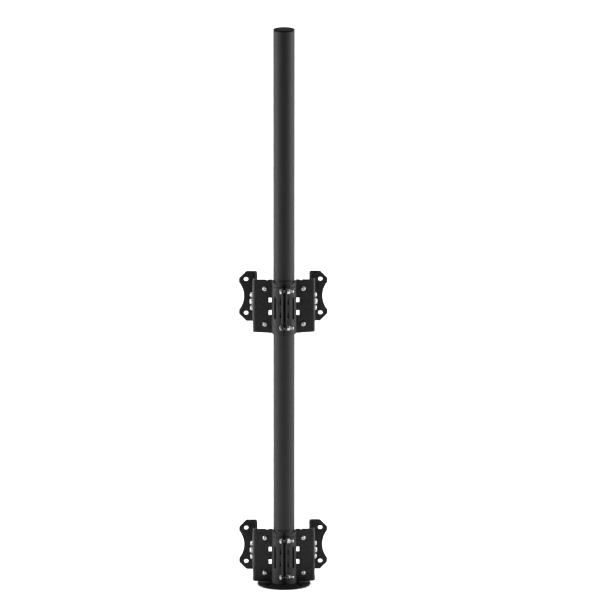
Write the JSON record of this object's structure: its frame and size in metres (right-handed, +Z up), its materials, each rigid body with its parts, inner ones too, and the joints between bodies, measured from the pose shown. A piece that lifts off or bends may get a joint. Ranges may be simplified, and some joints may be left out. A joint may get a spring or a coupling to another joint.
{
  "type": "display pole mount",
  "caption": "Round floor pole on a bolted disc base with clamp-on brackets that slide, swivel and tilt to carry displays.",
  "frame": {"origin": "centre of the underside of the base disc, at the middle of its four fixing holes", "axes": "+Z up along the pole; the clamp gap of each bracket faces -Y, and a display is fixed to each bracket on its +Y side"},
  "size_m": [0.1986, 0.1395, 1.272],
  "materials": {
    "base_paint": "black powder coat",
    "pole_paint": "black powder coat, fine texture",
    "bracket_paint": "black powder coat, fine texture",
    "rod_paint": "black powder coat",
    "plug_steel": "turned",
    "zinc_steel": "bright zinc plated",
    "black_steel": "blackened",
    "cap_plastic": "fine grain",
    "liner_plastic": "moulded",
    "block_plastic": "moulded"
  },
  "bodies": {
    "mast": {"base_plate": "base_paint", "pole_tube": "pole_paint", "pole_foot_plug": "plug_steel", "base_screw": "zinc_steel", "base_dowels": "zinc_steel", "pole_cap": "cap_plastic"},
    "lower_liner": {"lower_pole_liner_left": "liner_plastic", "lower_pole_liner_right": "liner_plastic"},
    "lower_clamp": {"lower_clamp_half_left": "bracket_paint", "lower_clamp_half_right": "bracket_paint", "lower_clamp_strap_left": "bracket_paint", "lower_clamp_strap_right": "bracket_paint", "lower_saddle_upper": "bracket_paint", "lower_saddle_lower": "bracket_paint", "lower_pinch_bolts": "zinc_steel", "lower_pinch_washers": "black_steel", "lower_pinch_nuts": "zinc_steel", "lower_clamp_bolts": "zinc_steel", "lower_clamp_washers": "zinc_steel", "lower_clamp_nuts": "zinc_steel"},
    "lower_head": {"lower_display_plate_left": "bracket_paint", "lower_display_plate_right": "bracket_paint", "lower_spacer_block_left": "block_plastic", "lower_spacer_block_right": "block_plastic", "lower_spreader_rod_upper": "rod_paint", "lower_spreader_rod_lower": "rod_paint", "lower_rod_screws": "zinc_steel", "lower_pivot_bolts": "zinc_steel", "lower_pivot_nuts": "zinc_steel", "lower_lock_screws": "zinc_steel", "lower_lock_nuts": "zinc_steel", "lower_tilt_washers": "zinc_steel"},
    "upper_liner": {"upper_pole_liner_left": "liner_plastic", "upper_pole_liner_right": "liner_plastic"},
    "upper_clamp": {"upper_clamp_half_left": "bracket_paint", "upper_clamp_half_right": "bracket_paint", "upper_clamp_strap_left": "bracket_paint", "upper_clamp_strap_right": "bracket_paint", "upper_saddle_upper": "bracket_paint", "upper_saddle_lower": "bracket_paint", "upper_pinch_bolts": "zinc_steel", "upper_pinch_washers": "black_steel", "upper_pinch_nuts": "zinc_steel", "upper_clamp_bolts": "zinc_steel", "upper_clamp_washers": "zinc_steel", "upper_clamp_nuts": "zinc_steel"},
    "upper_head": {"upper_display_plate_left": "bracket_paint", "upper_display_plate_right": "bracket_paint", "upper_spacer_block_left": "block_plastic", "upper_spacer_block_right": "block_plastic", "upper_spreader_rod_upper": "rod_paint", "upper_spreader_rod_lower": "rod_paint", "upper_rod_screws": "zinc_steel", "upper_pivot_bolts": "zinc_steel", "upper_pivot_nuts": "zinc_steel", "upper_lock_screws": "zinc_steel", "upper_lock_nuts": "zinc_steel", "upper_tilt_washers": "zinc_steel"}
  },
  "joints": [
    {"name": "lower_height", "type": "slide", "parent": "mast", "child": "lower_liner", "axis": [0, 0, 1], "range_m": [0, 0.2]},
    {"name": "lower_swivel", "type": "hinge", "parent": "lower_liner", "child": "lower_clamp", "pos_m": [0, 0, 0.0662], "axis": [0, 0, 1], "continuous": true},
    {"name": "lower_tilt", "type": "hinge", "parent": "lower_clamp", "child": "lower_head", "pos_m": [0, 0.052, 0.0662], "axis": [1, 0, 0], "range_deg": [-15, 15]},
    {"name": "upper_height", "type": "slide", "parent": "mast", "child": "upper_liner", "axis": [0, 0, 1], "range_m": [-0.2, 0.5]},
    {"name": "upper_swivel", "type": "hinge", "parent": "upper_liner", "child": "upper_clamp", "pos_m": [0, 0, 0.6395], "axis": [0, 0, 1], "continuous": true},
    {"name": "upper_tilt", "type": "hinge", "parent": "upper_clamp", "child": "upper_head", "pos_m": [0, 0.052, 0.6395], "axis": [1, 0, 0], "range_deg": [-15, 15]}
  ]
}
